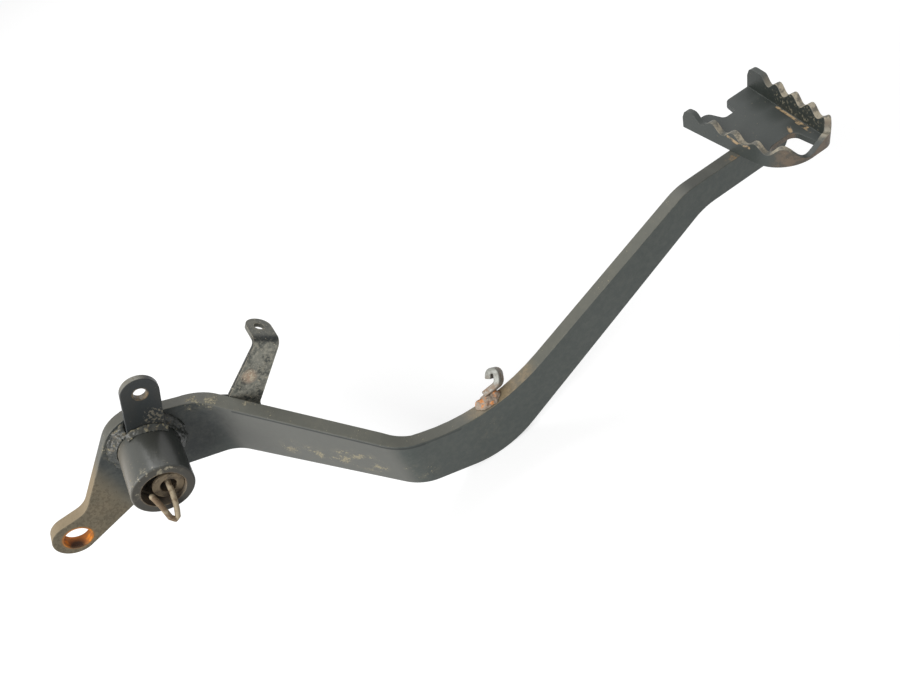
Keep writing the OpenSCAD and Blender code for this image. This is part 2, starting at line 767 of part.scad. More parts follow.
module hook_weld() {
    lump_x = hook_x - hook_lump_back;
    color([0.5, 0.36, 0.22])
        difference() {
            translate([lump_x, pad_arm_y + plate_t - hook_lump_inset, elbow_z(lump_x)])
                scale([hook_lump, hook_lump_w, hook_lump_h] / 2)
                    sphere(r = 1, $fn = LUMP_FN);
            arm_solid();
            hook_solid();
        }
}

module pad_weld() {
    bead_start = pad_x + pad_t;
    bead_len = arm_end - arm_end_h / 2;
    color([0.36, 0.35, 0.32])
        for (side = [0, 1])
            translate([bead_start, pad_arm_y + side * plate_t, pad_under_z])
                rotate([90, 0, 90])
                    linear_extrude(height = bead_len)
                        mirror([1 - side, 0])
                            mirror([0, 1])
                                polygon(bead_section(pad_bead));
}

arm();
pivot_tube();
foot_pad();
spring_tab();
switch_bracket();
spring_hook();
pivot_washer();
split_pin();
tube_weld();
tab_weld();
bracket_weld();
hook_weld();
pad_weld();
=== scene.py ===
"""Rear brake pedal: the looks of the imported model. Units are metres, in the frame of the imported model."""
import math

import bmesh
import bpy
from mathutils import Matrix, Vector, noise


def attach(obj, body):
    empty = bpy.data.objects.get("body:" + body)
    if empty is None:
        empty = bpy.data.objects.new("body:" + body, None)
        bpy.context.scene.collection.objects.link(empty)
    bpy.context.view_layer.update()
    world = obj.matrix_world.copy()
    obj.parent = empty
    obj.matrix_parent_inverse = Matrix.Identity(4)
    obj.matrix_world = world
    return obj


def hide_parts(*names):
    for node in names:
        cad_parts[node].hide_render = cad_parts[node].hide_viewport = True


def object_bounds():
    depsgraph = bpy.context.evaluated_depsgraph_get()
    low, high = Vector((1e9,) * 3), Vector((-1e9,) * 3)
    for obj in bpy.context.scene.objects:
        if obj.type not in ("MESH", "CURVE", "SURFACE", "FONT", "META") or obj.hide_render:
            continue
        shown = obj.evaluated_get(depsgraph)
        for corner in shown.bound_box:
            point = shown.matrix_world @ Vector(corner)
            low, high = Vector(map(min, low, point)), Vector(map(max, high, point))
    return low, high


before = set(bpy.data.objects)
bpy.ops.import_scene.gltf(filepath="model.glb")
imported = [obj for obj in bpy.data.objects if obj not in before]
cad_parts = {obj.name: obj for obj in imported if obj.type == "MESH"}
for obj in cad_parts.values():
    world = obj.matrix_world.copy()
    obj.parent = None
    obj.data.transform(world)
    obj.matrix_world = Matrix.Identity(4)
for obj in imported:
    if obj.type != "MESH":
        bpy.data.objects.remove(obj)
cad_box = [list(corner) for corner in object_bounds()]
MM = 0.001

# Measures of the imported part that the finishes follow, in mm
ROD_HOLE = (-50.4, 0.0, -23.6)
ROD_HOLE_R = 5.45
SPRING_HOLE = (13.9, -6.5, 27.7)
SPRING_HOLE_R = 2.6
PIVOT = (0, 0, 0)
EAR_FOLD_Y = -4.6
TUBE_MOUTH_Y = -31.95
TUBE_MOUTH_R = 8.7
# Where a finish sets in along an axis, in mm, as its first trace and its full strength
LEVER_X = (-18, -30)
TUBE_END_Y = (TUBE_MOUTH_Y + 6, TUBE_MOUTH_Y + 1)
TUBE_RIM_TOP_Z = (2, 9)
BRACKET_STRIP_Y = (EAR_FOLD_Y + 4, EAR_FOLD_Y + 1)
BRACKET_EAR_Y = (EAR_FOLD_Y + 1, EAR_FOLD_Y + 3)
PAD_OUTBOARD_Y = (-33, -50)
PAD_FRONT_X = (300, 306)
PAD_TEETH_Z = (1.5, 5)
HOOK_FOOT_Z = (-36, -43)
# Round the tube the arm is darkened with painted shade, out to these radii
ARM_PAINTED_SHADE_R = (40, 25)

# Marks of use and painted shade, in mm. A spot is (x, y, z, reach, strength), and a streak (start, end, half
# width, strength).
# Dust lies in clumps low on the arm's slope, on the eye's top edge, and here and there along the arm.
ARM_DUST = (
    (47, -22, -32, 9, 1.1), (52, -26, -36, 9, 1.2), (57, -31, -40, 10, 1.3), (63, -37, -41, 10, 1.4),
    (70, -42, -44, 11, 1.5), (73, -45, -50, 9, 1.4), (84, -55, -53, 6, 0.8), (70, -43, -38, 7, 0.5),
    (25, -3.5, 5, 7, 1.3), (31, -5, 2, 6, 1.2), (43.6, -13, -5, 5, 1.5), (58, -26, -12, 5, 0.8),
    (91, -57, -60, 9, 0.7), (126, -57, -60, 12, 0.4), (-12, -4, 8, 9, 0.9))
# Painted shade lies in a thin dark line under the arm's top edge, from the first bend to the elbow
ARM_PAINTED_SHADE_LINE = (
    ((36.6, -12.5, -3.5), (75.8, -48.0, -29.5), 0.9, 1.0),
    ((75.8, -48.0, -29.5), (81.6, -53.1, -33.5), 0.9, 1.0),
    ((81.6, -53.1, -33.5), (88, -56.4, -37.3), 0.9, 1.0),
    ((88, -56.4, -37.3), (96, -57, -41.2), 0.9, 0.9),
    ((96, -57, -41.2), (113, -57, -47.6), 0.8, 0.6))
ARM_RUST_BY_HOOK = ((138, -53, -46, 15, 1.0), (150, -53, -45, 10, 0.6), (124, -53, -47, 9, 0.5))
ARM_SHADE_BY_PAD = ((256, -55, -3, 15, 0.9), (268, -53, -3, 10, 0.8))
ARM_RUST_BY_PAD = ((275, -55, -3, 5, 1.0),)
ROD_HOLE_DEEP_RUST = ((-54, -2.6, -28, 5.5, 1.3), (-52, -5, -29, 4, 0.8))
TAB_FOOT_DUST = ((12, -8, 14, 9, 1.1),)
BRACKET_RUST = ((50.3, -5.9, 1.9, 4.5, 1.0), (51.5, -5.9, 3.5, 3, 0.8))
# Boots have scratched the tread along the foot of its front wall, by its opening, and on its rear wall
PAD_SCRATCHES = (
    ((308.2, -48, 0), (304.4, -68, 0), 0.8, 1.0),
    ((304.6, -62, 0), (302.9, -71, 0), 0.7, 0.7),
    ((300.4, -62, 0), (298.6, -64.5, 0), 1.1, 0.9),
    ((277.4, -50, 4.2), (277.4, -55, 3.2), 1.1, 1.0),
    ((277.4, -55, 3.2), (277.4, -62, 3.8), 0.9, 1.0))
# Painted shade on the tread's floor along the foot of its front wall
PAD_SHADE = ((308, -31, 0, 8, 0.8), (307.5, -41, 0, 9, 1.0), (305.5, -52, 0, 9, 0.9), (303, -64, 0, 8, 0.8))

# Sprayed enamel has an orange peel, in mm: its width, and its depth on the arm and pad, and on tube and tab
PEEL = 0.9
PEEL_DEEP = 0.03
PEEL_SHALLOW = 0.02


# Helpers for materials

def linear(code):
    """sRGB hex to a linear colour."""
    parts = [int(code[i:i + 2], 16) / 255 for i in (0, 2, 4)]
    return tuple(c / 12.92 if c <= 0.04045 else ((c + 0.055) / 1.055) ** 2.4 for c in parts) + (1.0,)


def add(tree, kind, inputs=None, out=0, **settings):
    """Adds a node with its settings, and its inputs as values or sockets, and gives one of its outputs."""
    made = tree.nodes.new(kind)
    for name, value in settings.items():
        setattr(made, name, value)
    for key, value in (inputs or {}).items():
        if isinstance(value, bpy.types.NodeSocket):
            tree.links.new(value, made.inputs[key])
        else:
            made.inputs[key].default_value = value
    return made.outputs[out] if len(made.outputs) else None


def start_material(name):
    """A new material and its empty node tree."""
    material = bpy.data.materials.new(name)
    material.use_nodes = True
    material.node_tree.nodes.clear()
    return material, material.node_tree


def turned_to(tree, axis, start, full, either_way=False):
    """Where the surface faces along an axis: 0 where that part of its normal is start and 1 where full."""
    normal = add(tree, "ShaderNodeNewGeometry", out="Normal")
    part = add(tree, "ShaderNodeSeparateXYZ", {0: normal}, out=axis)
    if either_way:
        part = add(tree, "ShaderNodeMath", {0: part}, operation="ABSOLUTE")
    return add(tree, "ShaderNodeMapRange", {"Value": part, "From Min": start, "From Max": full},
               interpolation_type="SMOOTHSTEP")


def beyond(tree, place, axis, start_mm, full_mm):
    """Where the piece goes past a place along an axis: 0 at start_mm and 1 at full_mm."""
    along = add(tree, "ShaderNodeSeparateXYZ", {0: place}, out=axis)
    return add(tree, "ShaderNodeMapRange",
               {"Value": along, "From Min": start_mm * MM, "From Max": full_mm * MM},
               interpolation_type="SMOOTHSTEP")


def grain(tree, place, size_mm, low=0.0, high=1.0, detail=4.0, rough=0.6, shift=0.0):
    """Noise whose main lumps are size_mm apart, as a share that rises from 0 at low to 1 at high."""
    moved = add(tree, "ShaderNodeMapping", {"Vector": place, "Location": (shift, shift, shift)})
    lumps = add(tree, "ShaderNodeTexNoise",
                {"Vector": moved, "Scale": 1 / (size_mm * MM), "Detail": detail, "Roughness": rough})
    # The whole range stays as it is, and a narrow one gets soft ends
    ends = "LINEAR" if high - low > 0.9 else "SMOOTHSTEP"
    return add(tree, "ShaderNodeMapRange", {"Value": lumps, "From Min": low, "From Max": high},
               interpolation_type=ends)


def spots(tree, place, marks):
    """Soft spots, each (x, y, z, reach in mm, strength): whole near the middle and 0 at the reach."""
    core = 0.2
    total = 0.0
    for x, y, z, reach, strength in marks:
        far = add(tree, "ShaderNodeVectorMath", {0: place, 1: (x * MM, y * MM, z * MM)}, out="Value",
                  operation="DISTANCE")
        one = add(tree, "ShaderNodeMapRange",
                  {"Value": far, "From Min": reach * MM, "From Max": core * reach * MM, "To Max": strength},
                  interpolation_type="SMOOTHSTEP")
        total = add(tree, "ShaderNodeMath", {0: total, 1: one}, operation="MAXIMUM")
    return total


def streaks(tree, place, marks):
    """Scratches, runs and lines of painted shade, each (start, end, half width in mm, strength): whole along
    the middle line.
    """
    core = 0.4
    total = 0.0
    for start, end, width, strength in marks:
        way = (Vector(end) - Vector(start)) * MM
        gone = add(tree, "ShaderNodeVectorMath", {0: place, 1: Vector(start) * MM}, operation="SUBTRACT")
        along = add(tree, "ShaderNodeVectorMath", {0: gone, 1: way / way.length_squared}, out="Value",
                    operation="DOT_PRODUCT")
        held = add(tree, "ShaderNodeClamp", {"Value": along})
        nearest = add(tree, "ShaderNodeVectorMath", {0: way, "Scale": held}, operation="SCALE")
        far = add(tree, "ShaderNodeVectorMath", {0: gone, 1: nearest}, out="Value", operation="DISTANCE")
        one = add(tree, "ShaderNodeMapRange",
                  {"Value": far, "From Min": width * MM, "From Max": core * width * MM, "To Max": strength},
                  interpolation_type="SMOOTHSTEP")
        total = add(tree, "ShaderNodeMath", {0: total, 1: one}, operation="MAXIMUM")
    return total


def round_hole(tree, place, middle_mm, outer_mm, inner_mm):
    """A ring round a hole along Y: 0 outside outer_mm from its axis and 1 inside inner_mm."""
    middle = tuple(c * MM for c in middle_mm)
    moved = add(tree, "ShaderNodeVectorMath", {0: place, 1: middle}, operation="SUBTRACT")
    flat = add(tree, "ShaderNodeVectorMath", {0: moved, 1: (1, 0, 1)}, operation="MULTIPLY")
    far = add(tree, "ShaderNodeVectorMath", {0: flat}, out="Value", operation="LENGTH")
    return add(tree, "ShaderNodeMapRange",
               {"Value": far, "From Min": outer_mm * MM, "From Max": inner_mm * MM},
               interpolation_type="SMOOTHSTEP")


def crumbs(tree, place, amount, size_mm, shift=0.0):
    """Specks size_mm across, which cover nothing at an amount of 0 and about half of the surface at 1."""
    # Levels of noise: no speck reaches bare, and a full amount lowers it by less_at_full
    bare, less_at_full, soft_rim = 0.74, 0.25, 0.07
    fine = grain(tree, place, 2 * size_mm, detail=3, rough=0.6, shift=shift)
    level = add(tree, "ShaderNodeMath", {0: amount, 1: -less_at_full, 2: bare}, operation="MULTIPLY_ADD")
    over = add(tree, "ShaderNodeMath", {0: fine, 1: level}, operation="SUBTRACT")
    return add(tree, "ShaderNodeMapRange", {"Value": over, "From Min": 0.0, "From Max": soft_rim},
               interpolation_type="SMOOTHSTEP")


def rubbed_edges(tree, place, radius_mm, wear):
    """Edges within radius_mm, broken up by noise: wear of 0 leaves none and 1 nearly all."""
    # Cosines of the turn between the flat face and the eased edge, where wear begins and is whole
    edge_begins, edge_full = 0.985, 0.86
    rounded = add(tree, "ShaderNodeBevel", {"Radius": radius_mm * MM}, samples=6)
    true = add(tree, "ShaderNodeNewGeometry", out="True Normal")
    along = add(tree, "ShaderNodeVectorMath", {0: rounded, 1: true}, out="Value", operation="DOT_PRODUCT")
    edge = add(tree, "ShaderNodeMapRange", {"Value": along, "From Min": edge_begins, "From Max": edge_full},
               interpolation_type="SMOOTHSTEP")
    # The noise lies mostly between 0.3 and 0.7, so nearly none of it passes at no wear, and most at full wear
    limit = 0.66 - 0.34 * wear
    broken = grain(tree, place, 5, limit, limit + 0.14, detail=6, rough=0.68)
    return add(tree, "ShaderNodeMath", {0: edge, 1: broken}, operation="MULTIPLY")


def coats(tree, colour, layers):
    """Lays colours over one another in order, each as (share of the surface, strength, sRGB hex)."""
    for share, strength, code in layers:
        amount = add(tree, "ShaderNodeMath", {0: share, 1: strength}, operation="MULTIPLY", use_clamp=True)
        # A Mix node has its colours at inputs 6 and 7 and at output 2
        colour = add(tree, "ShaderNodeMix", {0: amount, 6: colour, 7: linear(code)}, out=2, data_type="RGBA")
    return colour


def relief(tree, lumps):
    """Adds up heights, each as (pattern, height in mm)."""
    total = 0.0
    for pattern, height in lumps:
        total = add(tree, "ShaderNodeMath", {0: pattern, 1: height, 2: total}, operation="MULTIPLY_ADD")
    return total


def finish_material(tree, colour, dull, height, *, rough, dull_rough, metal=0.0, specular=0.5):
    """Joins colour and height in mm with a roughness that goes from rough to dull_rough where dull is 1."""
    uneven = add(tree, "ShaderNodeMapRange", {"Value": dull, "To Min": rough, "To Max": dull_rough})
    bump = add(tree, "ShaderNodeBump", {"Height": height, "Strength": 1.0, "Distance": MM})
    shader = add(tree, "ShaderNodeBsdfPrincipled",
                 {"Base Color": colour, "Roughness": uneven, "Metallic": metal, "Normal": bump,
                  "Specular IOR Level": specular})
    add(tree, "ShaderNodeOutputMaterial", {"Surface": shader})


# Finishes

def enamel_on_arm():
    """Satin black enamel on pressed steel, dulled to an even grey by fine dust. It is darkened with painted
    shade round the tube, lightened with painted light on the slope, khaki with crumbs on the upward cut edge,
    and worn to brown on the lever, whose hole shows fresh rust."""
    material, tree = start_material("satin_enamel_on_pressed_arm")
    place = add(tree, "ShaderNodeTexCoord", out="Object")
    cut = turned_to(tree, "Y", 0.55, 0.3, either_way=True)
    upward = turned_to(tree, "Z", 0.35, 0.85)
    # Painted light: the slope, which faces the front left, is painted paler, except on its cut edges
    slope = turned_to(tree, "X", -0.3, -0.62)
    slope = add(tree, "ShaderNodeMath", {0: slope, 1: cut}, operation="SUBTRACT", use_clamp=True)
    lever = beyond(tree, place, "X", *LEVER_X)
    lever_cut = add(tree, "ShaderNodeMath", {0: lever, 1: cut}, operation="MULTIPLY")
    # Painted shade: the arm is darker round the tube, but not on the lever
    painted_shade_round_tube = round_hole(tree, place, PIVOT, *ARM_PAINTED_SHADE_R)
    painted_shade_round_tube = add(tree, "ShaderNodeMath", {0: painted_shade_round_tube, 1: lever}, operation="SUBTRACT", use_clamp=True)
    broad = grain(tree, place, 30, 0.35, 0.65)
    fine = grain(tree, place, 3, 0.35, 0.7, detail=6, rough=0.7, shift=0.2)

    # Dust crumbs are finer than a pixel, so they are drawn 0.45 mm wide, on a thin film of the same dust
    clumps = grain(tree, place, 7, 0.4, 0.6, shift=0.5)
    on_top = add(tree, "ShaderNodeMath", {0: upward, 1: 0.45}, operation="MULTIPLY")
    dusty = add(tree, "ShaderNodeMath", {0: spots(tree, place, ARM_DUST), 1: on_top}, operation="MAXIMUM")
    dusty = add(tree, "ShaderNodeMath", {0: dusty, 1: clumps}, operation="MULTIPLY")
    crumb = crumbs(tree, place, dusty, 0.45)
    thin = grain(tree, place, 2.5, 0.4, 0.6, detail=6, rough=0.7, shift=3.3)
    film = add(tree, "ShaderNodeMath", {0: dusty, 1: thin}, operation="MULTIPLY")
    # Painted shade: a thin dark line under the top edge
    painted_shade_under_edge = streaks(tree, place, ARM_PAINTED_SHADE_LINE)

    # Rust from the hook's weld has run along the top edge, and a little shows where the pad is welded on
    by_hook = add(tree, "ShaderNodeMath", {0: spots(tree, place, ARM_RUST_BY_HOOK), 1: upward},
                  operation="MULTIPLY")
    mottle = grain(tree, place, 3, 0.42, 0.6, detail=6, rough=0.7)
    hook_mottle = add(tree, "ShaderNodeMath", {0: by_hook, 1: mottle}, operation="MULTIPLY")
    by_pad = add(tree, "ShaderNodeMath", {0: spots(tree, place, ARM_SHADE_BY_PAD), 1: upward},
                 operation="MULTIPLY")
    scuffs = grain(tree, place, 6, 0.5, 0.62, detail=6, rough=0.7, shift=0.9)
    pad_rust = add(tree, "ShaderNodeMath", {0: spots(tree, place, ARM_RUST_BY_PAD), 1: scuffs},
                   operation="MULTIPLY")
    pad_rust = add(tree, "ShaderNodeMath", {0: pad_rust, 1: upward}, operation="MULTIPLY")

    # The lever has lost its enamel to a brown skin with dark pits, and its hole's wall has fresh rust
    pits = crumbs(tree, place, lever, 0.7, shift=1.4)
    blotches = grain(tree, place, 9, 0.42, 0.6, detail=6, rough=0.65, shift=2.6)
    stains = add(tree, "ShaderNodeMath", {0: lever, 1: blotches}, operation="MULTIPLY")
    ring = round_hole(tree, place, ROD_HOLE, ROD_HOLE_R + 2.0, ROD_HOLE_R + 0.6)
    bore = round_hole(tree, place, ROD_HOLE, ROD_HOLE_R + 1.0, ROD_HOLE_R + 0.5)
    patches = grain(tree, place, 5, 0.5, 0.6, shift=2.0)
    fresh = add(tree, "ShaderNodeMath", {0: bore, 1: patches}, operation="MULTIPLY")
    deep = add(tree, "ShaderNodeMath", {0: bore, 1: spots(tree, place, ROD_HOLE_DEEP_RUST)},
               operation="MULTIPLY")
    # Painted highlight along the edges, on real rubbed wear, and paler still on the lever
    edge = rubbed_edges(tree, place, 0.8, wear=0.6)
    lever_edge = add(tree, "ShaderNodeMath", {0: edge, 1: lever}, operation="MULTIPLY")

    colour = coats(tree, linear("404643"), (
        (broad, 0.5, "494e4b"), (slope, 0.8, "62625d"), (painted_shade_round_tube, 0.85, "1f2425"), (fine, 0.25, "64665f"),
        (painted_shade_under_edge, 0.8, "1b1f1f"), (film, 0.3, "8d8772"), (upward, 0.55, "6c6a60"),
        (by_hook, 0.6, "857458"), (hook_mottle, 0.6, "9d8a6c"), (crumb, 0.75, "a29a82"),
        (by_pad, 0.7, "2b2d2b"), (pad_rust, 0.8, "8f7553"), (edge, 0.6, "8f8b7f"),
        (lever, 0.92, "746a57"), (stains, 0.5, "5f5a4c"), (pits, 0.4, "4b4336"), (lever_cut, 0.8, "96866d"),
        (ring, 0.6, "8a6a42"), (bore, 0.95, "a8672e"), (fresh, 0.85, "dd8526"), (deep, 0.9, "3c2616"),
        (lever_edge, 0.6, "ab9c80")))
    dull = add(tree, "ShaderNodeMath", {0: crumb, 1: lever}, operation="MAXIMUM")
    peel = grain(tree, place, PEEL, detail=3, rough=0.5, shift=1.7)
    height = relief(tree, ((peel, PEEL_DEEP), (crumb, 0.07), (pits, -0.06), (broad, 0.05)))
    finish_material(tree, colour, dull, height, rough=0.5, dull_rough=0.85, specular=0.35)
    return material


def enamel_on_tube():
    """Glossier black enamel on plain tube: two soft highlights with a dark band between them, khaki specks,
    a worn left flank, chips at the rim, and a brown-grey face and wall at its mouth."""
    material, tree = start_material("glossy_enamel_on_tube")
    place = add(tree, "ShaderNodeTexCoord", out="Object")
    broad = grain(tree, place, 16, 0.35, 0.65)
    outer_end = beyond(tree, place, "Y", *TUBE_END_Y)
    bore = round_hole(tree, place, PIVOT, TUBE_MOUTH_R + 0.6, TUBE_MOUTH_R + 0.2)
    skyward = turned_to(tree, "Z", 0.35, 0.95)
    mouth = turned_to(tree, "Y", -0.5, -0.9)
    left = turned_to(tree, "X", -0.2, -0.8)
    clumps = grain(tree, place, 6, 0.4, 0.62, shift=0.5)
    dusty = add(tree, "ShaderNodeMath", {0: left, 1: 0.5, 2: 0.38}, operation="MULTIPLY_ADD")
    dusty = add(tree, "ShaderNodeMath", {0: dusty, 1: clumps}, operation="MULTIPLY")
    crumb = crumbs(tree, place, dusty, 0.7)
    edge = rubbed_edges(tree, place, 0.7, wear=0.75)
    flakes = grain(tree, place, 3, 0.56, 0.64, detail=6, rough=0.7, shift=4.0)
    rim_top = beyond(tree, place, "Z", *TUBE_RIM_TOP_Z)
    rim_chips = add(tree, "ShaderNodeMath", {0: outer_end, 1: flakes}, operation="MULTIPLY")
    rim_chips = add(tree, "ShaderNodeMath", {0: rim_chips, 1: rim_top}, operation="MULTIPLY")
    brown = grain(tree, place, 4, 0.4, 0.65, detail=6, rough=0.7, shift=2.2)
    bore_brown = add(tree, "ShaderNodeMath", {0: bore, 1: brown}, operation="MULTIPLY")
    colour = coats(tree, linear("2b2e2c"), (
        (broad, 0.5, "383a37"), (skyward, 0.55, "5b5c56"), (left, 0.75, "767064"), (crumb, 0.75, "8c8370"),
        (mouth, 0.85, "3e3b34"), (bore, 0.8, "544c41"), (bore_brown, 0.7, "77634b"),
        (rim_chips, 0.7, "a39b86"), (edge, 0.75, "a0967f")))
    dull = add(tree, "ShaderNodeMath", {0: crumb, 1: mouth}, operation="MAXIMUM")
    dull = add(tree, "ShaderNodeMath", {0: dull, 1: bore}, operation="MAXIMUM")
    peel = grain(tree, place, PEEL, detail=3, rough=0.5, shift=1.7)
    height = relief(tree, ((peel, PEEL_SHALLOW), (crumb, 0.06), (broad, 0.06), (bore_brown, 0.06)))
    finish_material(tree, colour, dull, height, rough=0.34, dull_rough=0.8, specular=0.6)
    return material


def enamel_on_tab():
    """Clean black enamel on thin plate: near black on its face, a pale line of wear along its top."""
    material, tree = start_material("clean_enamel_on_spring_tab")
    place = add(tree, "ShaderNodeTexCoord", out="Object")
    broad = grain(tree, place, 12, 0.35, 0.65)
    upward = turned_to(tree, "Z", 0.5, 0.95)
    brown = grain(tree, place, 3, 0.4, 0.6, shift=0.8)
    wall = round_hole(tree, place, SPRING_HOLE, SPRING_HOLE_R + 0.8, SPRING_HOLE_R + 0.3)
    rust = add(tree, "ShaderNodeMath", {0: wall, 1: brown}, operation="MULTIPLY")
    dusty = add(tree, "ShaderNodeMath", {0: upward, 1: 0.6, 2: 0.22}, operation="MULTIPLY_ADD")
    dusty = add(tree, "ShaderNodeMath", {0: dusty, 1: spots(tree, place, TAB_FOOT_DUST)},
                operation="MAXIMUM")
    crumb = crumbs(tree, place, dusty, 0.6)
    edge = rubbed_edges(tree, place, 0.6, wear=0.4)
    colour = coats(tree, linear("262a2b"), (
        (broad, 0.5, "302f2b"), (upward, 0.7, "8d8a7f"), (crumb, 0.55, "7b7565"), (edge, 0.6, "8e8776"),
        (wall, 0.6, "4c4538"), (rust, 0.8, "7d6a4e")))
    peel = grain(tree, place, PEEL, detail=3, rough=0.5)
    height = relief(tree, ((peel, PEEL_SHALLOW), (crumb, 0.05)))
    finish_material(tree, colour, crumb, height, rough=0.42, dull_rough=0.8, specular=0.4)
    return material


def dust_on_bracket():
    """Black enamel under a pale, mottled coat of road dust, darkened with painted shade at the fold, with
    cream crumbs and a pink rust spot low on the strip, and a tan rim on the ear and edges, which is painted
    highlight on rubbed wear."""
    material, tree = start_material("dusty_enamel_on_switch_bracket")
    place = add(tree, "ShaderNodeTexCoord", out="Object")
    mottled = grain(tree, place, 6, 0.38, 0.58, detail=7, rough=0.68)
    fine = grain(tree, place, 1.6, 0.45, 0.62, detail=4, rough=0.65, shift=0.4)
    strip = beyond(tree, place, "Y", *BRACKET_STRIP_Y)
    # Painted shade: the fold between strip and ear is darkened
    fold = add(tree, "ShaderNodeMath", {0: strip, 1: turned_to(tree, "Z", 0.35, 0.6)}, operation="MULTIPLY")
    ear = beyond(tree, place, "Y", *BRACKET_EAR_Y)
    spot = spots(tree, place, BRACKET_RUST)
    worn_spot = add(tree, "ShaderNodeMath", {0: spot, 1: mottled}, operation="MULTIPLY")
    dusty = add(tree, "ShaderNodeMath", {0: spot, 1: 0.6, 2: 0.5}, operation="MULTIPLY_ADD")
    cream = crumbs(tree, place, dusty, 0.6, shift=2.0)
    # Painted highlight on the pale rim along the edges, on real rubbed wear
    edge = rubbed_edges(tree, place, 0.6, wear=0.7)
    colour = coats(tree, linear("4b4e4a"), (
        (mottled, 0.8, "8f8e84"), (fine, 0.5, "aca899"), (ear, 0.6, "62635e"), (fold, 0.85, "1f2324"),
        (spot, 0.55, "9a7c6a"), (worn_spot, 0.7, "bda68f"), (cream, 0.8, "c2b9a3"), (edge, 0.75, "b5ab97")))
    height = relief(tree, ((fine, 0.06), (mottled, 0.1), (cream, 0.1)))
    finish_material(tree, colour, mottled, height, rough=0.6, dull_rough=0.85, specular=0.35)
    return material


def enamel_on_pad():
    """Black enamel on a pressed tread: smooth grey on the floor, greenish black with khaki specks on the
    walls, darkened with painted shade on the front wall and along its foot, and worn to tan metal on the tips
    of the teeth, round the opening and where wall meets floor."""
    material, tree = start_material("worn_enamel_on_tread")
    place = add(tree, "ShaderNodeTexCoord", out="Object")
    broad = grain(tree, place, 18, 0.35, 0.65)
    wall = turned_to(tree, "Z", 0.6, 0.25)
    far_out = beyond(tree, place, "Y", *PAD_OUTBOARD_Y)
    scuffed = grain(tree, place, 4, 0.4, 0.56, detail=6, rough=0.7, shift=0.9)

    # The tips of the teeth are the upward faces that stand well above the floor
    upward = turned_to(tree, "Z", 0.3, 0.7)
    high = beyond(tree, place, "Z", *PAD_TEETH_Z)
    tips = add(tree, "ShaderNodeMath", {0: upward, 1: high}, operation="MULTIPLY")
    tips = add(tree, "ShaderNodeMath", {0: tips, 1: far_out}, operation="MULTIPLY")
    worn_tips = add(tree, "ShaderNodeMath", {0: tips, 1: scuffed}, operation="MULTIPLY")
    skips = grain(tree, place, 3, 0.4, 0.56, shift=2.4)
    scratched = add(tree, "ShaderNodeMath", {0: streaks(tree, place, PAD_SCRATCHES), 1: skips},
                    operation="MULTIPLY")

    # The front wall is darkened with painted shade, and the nose beside it has worn to brown
    front = beyond(tree, place, "X", *PAD_FRONT_X)
    front_wall = add(tree, "ShaderNodeMath", {0: front, 1: wall}, operation="MULTIPLY")
    outward = turned_to(tree, "Y", -0.35, -0.8)
    nose = add(tree, "ShaderNodeMath", {0: outward, 1: far_out}, operation="MULTIPLY")
    nose_scuff = add(tree, "ShaderNodeMath", {0: nose, 1: scuffed}, operation="MULTIPLY")
    # Painted shade on the floor at the foot of the front wall
    shade = spots(tree, place, PAD_SHADE)
    dusty = add(tree, "ShaderNodeMath", {0: front_wall, 1: far_out}, operation="MULTIPLY")
    dusty = add(tree, "ShaderNodeMath", {0: dusty, 1: 0.45, 2: 0.3}, operation="MULTIPLY_ADD")
    crumb = crumbs(tree, place, dusty, 0.7)
    edge = rubbed_edges(tree, place, 0.7, wear=0.5)
    colour = coats(tree, linear("434745"), (
        (broad, 0.5, "4b4e4b"), (wall, 0.4, "3f4440"), (front_wall, 0.7, "2a2f2b"), (shade, 0.7, "2b302c"),
        (nose, 0.6, "5a5044"), (nose_scuff, 0.5, "7d6a57"), (crumb, 0.6, "8b8470"), (tips, 0.5, "7d786c"),
        (worn_tips, 0.75, "b3a994"), (scratched, 0.85, "bfa37c"), (edge, 0.45, "8f8a7c")))
    peel = grain(tree, place, PEEL, detail=3, rough=0.5)
    height = relief(tree, ((peel, PEEL_DEEP), (crumb, 0.06), (scratched, -0.1)))
    finish_material(tree, colour, crumb, height, rough=0.48, dull_rough=0.85, specular=0.4)
    return material


def enamel_on_weld():
    """Enamel sprayed over a hand-laid bead: dark in its ripples, with khaki spatter and small wet glints."""
    material, tree = start_material("enamel_over_weld_bead")
    place = add(tree, "ShaderNodeTexCoord", out="Object")
    broad = grain(tree, place, 8, 0.35, 0.65)
    upward = turned_to(tree, "Z", 0.2, 0.9)
    dusty = add(tree, "ShaderNodeMath", {0: upward, 1: 0.5, 2: 0.4}, operation="MULTIPLY_ADD")
    crumb = crumbs(tree, place, dusty, 0.8)
    brown = crumbs(tree, place, dusty, 1.1, shift=2.5)
    colour = coats(tree, linear("2c2f2d"), (
        (broad, 0.5, "3a3c38"), (upward, 0.5, "55534a"), (brown, 0.45, "675c49"), (crumb, 0.65, "928a72")))
    ripple = grain(tree, place, 2.0, detail=4, rough=0.5)
    height = relief(tree, ((ripple, 0.2), (crumb, 0.08)))
    finish_material(tree, colour, crumb, height, rough=0.34, dull_rough=0.8, specular=0.4)
    return material


